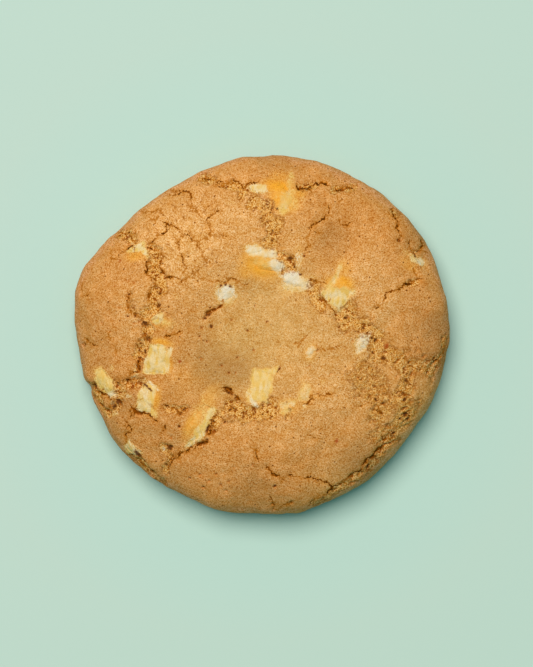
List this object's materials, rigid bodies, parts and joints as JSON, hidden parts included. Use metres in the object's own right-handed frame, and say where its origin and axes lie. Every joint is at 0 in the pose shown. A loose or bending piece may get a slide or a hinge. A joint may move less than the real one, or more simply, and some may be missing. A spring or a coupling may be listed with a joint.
{
  "type": "stuffed cookie",
  "caption": "Thick round baked cookie with a domed, cracked golden crust, a dimpled middle, a flat underside and white chocolate chunks set in the top.",
  "frame": {"origin": "middle of the flat underside, on the surface that the cookie stands on", "axes": "+Z up out of the domed top, +X to the right and +Y up as the picture looks down on it"},
  "size_m": [0.095, 0.0909, 0.0229],
  "materials": {
    "baked_crust": "dry golden-brown baked crust, finely grained and pitted, with ochre crumb in its cracks",
    "white_chocolate": "baked white chocolate, cream yellow with toasted edges and a dull wax sheen"
  },
  "bodies": {
    "root": {"dough": "baked_crust", "white_chocolate_01": "white_chocolate", "white_chocolate_02": "white_chocolate", "white_chocolate_03": "white_chocolate", "white_chocolate_04": "white_chocolate", "white_chocolate_05": "white_chocolate", "white_chocolate_06": "white_chocolate", "white_chocolate_07": "white_chocolate", "white_chocolate_08": "white_chocolate", "white_chocolate_09": "white_chocolate", "white_chocolate_10": "white_chocolate", "white_chocolate_11": "white_chocolate", "white_chocolate_12": "white_chocolate", "white_chocolate_13": "white_chocolate", "white_chocolate_14": "white_chocolate", "white_chocolate_15": "white_chocolate", "white_chocolate_16": "white_chocolate", "white_chocolate_17": "white_chocolate", "white_chocolate_18": "white_chocolate"}
  },
  "joints": []
}
